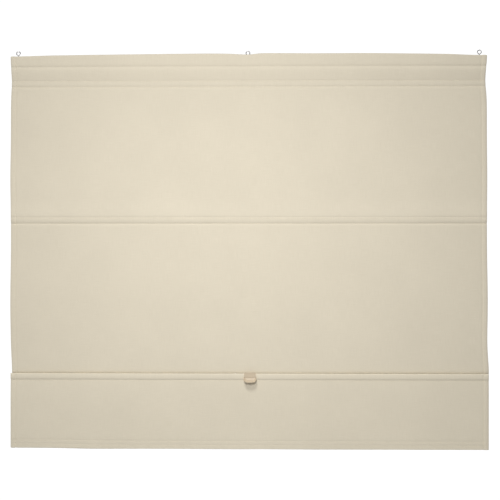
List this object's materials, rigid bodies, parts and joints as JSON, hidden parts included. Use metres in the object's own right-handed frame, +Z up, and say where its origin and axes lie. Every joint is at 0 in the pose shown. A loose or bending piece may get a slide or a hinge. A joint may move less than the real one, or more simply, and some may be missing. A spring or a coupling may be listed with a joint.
{
  "type": "roman blind",
  "caption": "Flat fabric roman blind on a wooden head batten with screw eyes, flat bars sewn in channels and a finger pull, one fold raised behind its bottom flap.",
  "frame": {"origin": "centre of the middle screw eye's ring, at the top of the head batten", "axes": "+X across the blind towards its right-hand side as seen from the room, +Z up, -Y towards the room"},
  "size_m": [1.4, 0.0313, 1.1718],
  "materials": {
    "cloth": "matte",
    "tape": "matte",
    "batten_wood": "matte",
    "eye_steel": "satin",
    "bar_steel": "satin",
    "cap_plastic": "matte",
    "handle_plastic": "satin",
    "screw_steel": "satin"
  },
  "bodies": {
    "head": {"head_batten": "batten_wood", "screw_eye_left": "eye_steel", "screw_eye_middle": "eye_steel", "screw_eye_right": "eye_steel", "cloth_upper": "cloth"},
    "middle_bar_body": {"middle_bar": "bar_steel", "middle_cap_left": "cap_plastic", "middle_cap_right": "cap_plastic", "middle_channel_tape": "tape", "cloth_lower": "cloth"},
    "bottom_bars_body": {"back_bar": "bar_steel", "back_cap_left": "cap_plastic", "back_cap_right": "cap_plastic", "back_channel_tape": "tape", "bottom_bar": "bar_steel", "bottom_cap_left": "cap_plastic", "bottom_cap_right": "cap_plastic", "bottom_channel_tape": "tape", "cloth_fold_and_flap": "cloth", "handle": "handle_plastic", "handle_screw_left": "screw_steel", "handle_screw_right": "screw_steel"}
  },
  "joints": [
    {"name": "middle_bar_lift", "type": "slide", "parent": "head", "child": "middle_bar_body", "axis": [0, 0, 1], "range_m": [0, 0.34], "deforming": ["cloth_upper"]},
    {"name": "bottom_bars_lift", "type": "slide", "parent": "middle_bar_body", "child": "bottom_bars_body", "axis": [0, 0, 1], "range_m": [0, 0.4], "deforming": ["cloth_lower"]}
  ]
}
